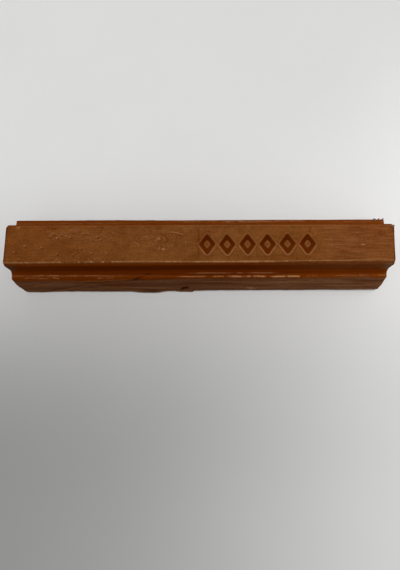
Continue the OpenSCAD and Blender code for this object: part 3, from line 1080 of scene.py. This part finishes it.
def wax_material():
    """Cast hard wax, red-brown and slightly translucent, ochre on top, worn at edges, with painted
    highlights, shade and sheen.
    """
    m = Material("cast_wax")
    along = m.place_on("X")
    on_top = m.ramp(m.place_on("Z"), *OCHRE_RISE)
    middle = m.ramp(m.math("ABSOLUTE", along), *OCHRE_WEAKENING, 1.0, 0.69)
    clouds = m.noise((7, 5, 5), detail=4)
    grain = m.noise((0.36, 0.3, 0.36))
    blotches = m.noise((1.7, 1.1, 1.3))
    streak = m.noise((9, 0.35, 0.5))
    recess = m.mask("recess")

    # Ochre on red, then the dulled skin with painted sheen, which painted light makes lighter to the right
    colour = m.mix(m.product(on_top, middle, m.ramp(clouds, 0.25, 0.6, 0.7, 1.0)), WAX_RED, WAX_OCHRE)
    dull = m.math("MULTIPLY", m.mask("dull"), m.spread(clouds, 0.8, 1.0), clamp=True)
    colour = m.mix(dull, colour, m.mix(m.ramp(along, *LIT_SHEEN_RISE), WAX_DULL_AND_SHEEN, WAX_SHEEN_LIT_RIGHT))

    # Uneven shade everywhere, stronger on the plateau
    shade = m.total(m.spread(clouds, -0.2, 0.2), m.spread(blotches, -0.2, 0.2),
                    m.spread(grain, -0.5, 0.5), m.spread(streak, -0.14, 0.14))
    strength = m.total(0.3, m.product(on_top, 0.15))
    colour = m.mix(1.0, colour, m.total(1.0, m.product(shade, strength)), "MULTIPLY")

    # Painted shade in the recesses, near black where it is deepest, and pale edges of wear and painted
    # highlight
    in_shade = m.mix(dull, WAX_SHADED, WAX_SHADED_DULL_AND_SHEEN)
    colour = m.mix(m.math("MULTIPLY", recess, 0.9, clamp=True), colour, in_shade)
    colour = m.mix(m.math("SUBTRACT", recess, 1.0, clamp=True), colour, WAX_DEEP_SHADE)
    pale = m.math("MULTIPLY", m.mask("rub"), m.ramp(grain, 0.25, 0.6, 0.6, 1.0), clamp=True)
    colour = m.mix(pale, colour, WAX_HIGHLIGHT_AND_WEAR)

    gloss = m.total(m.spread(clouds, 0.38, 0.46), m.spread(grain, -0.05, 0.05))
    finest = m.noise((0.16, 0.14, 0.16), detail=2)
    height = m.total(grain, m.product(finest, 0.4), m.product(streak, 0.8))
    return m.surface(height, 0.35, 0.03, {
        "Base Color": colour,
        "Roughness": m.total(gloss, m.product(m.math("SUBTRACT", 1.0, on_top), 0.4)),
        "IOR": 1.43,
        "Specular IOR Level": 0.0,
        "Subsurface Weight": 0.2,
        "Subsurface Radius": [1.0, 0.25, 0.06],
        "Subsurface Scale": 0.9 * MM,
    })


def crumb_material():
    """Dull, darker wax of the crumbs, with a little olive dust."""
    m = Material("wax_crumb")
    grain = m.noise((0.3, 0.3, 0.3))
    return m.surface(grain, 0.5, 0.05, {
        "Base Color": m.mix(m.spread(grain), CRUMB_DARK, CRUMB_LIGHT),
        "Roughness": m.spread(grain, 0.5, 0.7),
        "Subsurface Weight": 0.1,
        "Subsurface Radius": [1.0, 0.3, 0.1],
        "Subsurface Scale": 0.3 * MM,
    })


def table_material():
    m = Material("table_top")
    colour = m.mix(m.noise((30, 30, 30)), TABLE_DARK, TABLE_LIGHT)
    m.feed(m.shader, {"Base Color": colour, "Roughness": 0.65})
    return m.material


def add_floor():
    half = TABLE_HALF
    points = [(-half, -half, 0), (half, -half, 0), (half, half, 0), (-half, half, 0)]
    floor = add_mesh("table", points, [(0, 1, 2, 3)])
    floor.data.materials.append(table_material())


def metres(lengths):
    return Vector([length * MM for length in lengths])


def add_light(name, place, target, size, power, spread):
    """Soft box that faces the target."""
    data = bpy.data.lights.new(name, "AREA")
    data.shape = "RECTANGLE"
    data.size, data.size_y = (side * MM for side in size)
    data.energy = power
    data.spread = math.radians(spread)
    light = bpy.data.objects.new(name, data)
    light.location = metres(place)
    light.rotation_euler = (metres(target) - metres(place)).to_track_quat("-Z", "Y").to_euler()
    light.visible_camera = False
    bpy.context.collection.objects.link(light)


def add_room():
    """Even white surroundings, and the two soft boxes."""
    world = bpy.data.worlds.new("room")
    bpy.context.scene.world = world
    world.use_nodes = True
    background = world.node_tree.nodes["Background"]
    background.inputs["Color"].default_value = (1.0, 1.0, 1.0, 1)
    background.inputs["Strength"].default_value = ROOM_BRIGHTNESS
    for light in LIGHTS:
        add_light(*light)
    bpy.context.scene.view_settings.view_transform = "Standard"


def add_camera():
    """Camera almost straight above, leaning a little towards the viewer."""
    tilt, yaw, roll = (math.radians(turn) for turn in CAMERA_TURNS)
    to_camera = Matrix.Rotation(roll, 3, "Z") @ Matrix.Rotation(yaw, 3, "Y") @ Matrix.Rotation(-tilt, 3, "X")
    to_world = to_camera.transposed()
    place = to_world @ -(Vector(PLATEAU_IN_VIEW) * MM) + Vector((0, 0, HEIGHT * MM))
    data = bpy.data.cameras.new("camera")
    data.sensor_width = SENSOR_WIDTH
    data.lens = FOCAL_PIXELS * SENSOR_WIDTH / LONG_SIDE_PIXELS
    data.clip_start = MM
    camera = bpy.data.objects.new("camera", data)
    camera.matrix_world = Matrix.Translation(place) @ to_world.to_4x4()
    bpy.context.collection.objects.link(camera)
    bpy.context.scene.camera = camera


def add_bar():
    bar = add_mesh("cast_bar", *bar_mesh())
    bar.data.materials.append(wax_material())
    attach(bar, "root")
    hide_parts("wax_bar")


def ledge_chips():
    """Crumbs in a row on the far ledge, from its right end."""
    chips = []
    for i, (share, seed) in enumerate(LEDGE_CRUMBS):
        size = CRUMB_SIZE * share
        place = HALF_LENGTH - CRUMB_END_GAP - i * CRUMB_PITCH
        foot = (place, LEDGE_HALF + CRUMB_OVERHANG - size / 2, LEDGE_HEIGHT - CRUMB_SINK)
        chips.append(chip_mesh(foot, size, CRUMB_HEIGHT * share, seed))
    return chips


def corner_chip():
    """Crumb on the far right corner of the plateau."""
    foot = (HALF_LENGTH - CORNER_SIZE / 2, PLATEAU_HALF - CORNER_INSET, HEIGHT - CORNER_SINK)
    return chip_mesh(foot, CORNER_SIZE, CORNER_HEIGHT, CORNER_SEED)


def add_crumbs():
    material = crumb_material()
    for name, node, chips in (("ledge_chips", "ledge_crumbs", ledge_chips()),
                              ("corner_chip", "corner_crumb", [corner_chip()])):
        points = np.vstack([chip[0] for chip in chips])
        starts = np.cumsum([0] + [len(chip[0]) for chip in chips[:-1]])
        faces = np.vstack([chip[1] + start for chip, start in zip(chips, starts)]).tolist()
        piece = add_mesh(name, points, faces)
        piece.data.materials.append(material)
        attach(piece, "root")
        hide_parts(node)


add_camera()
add_room()
add_floor()
add_bar()
add_crumbs()
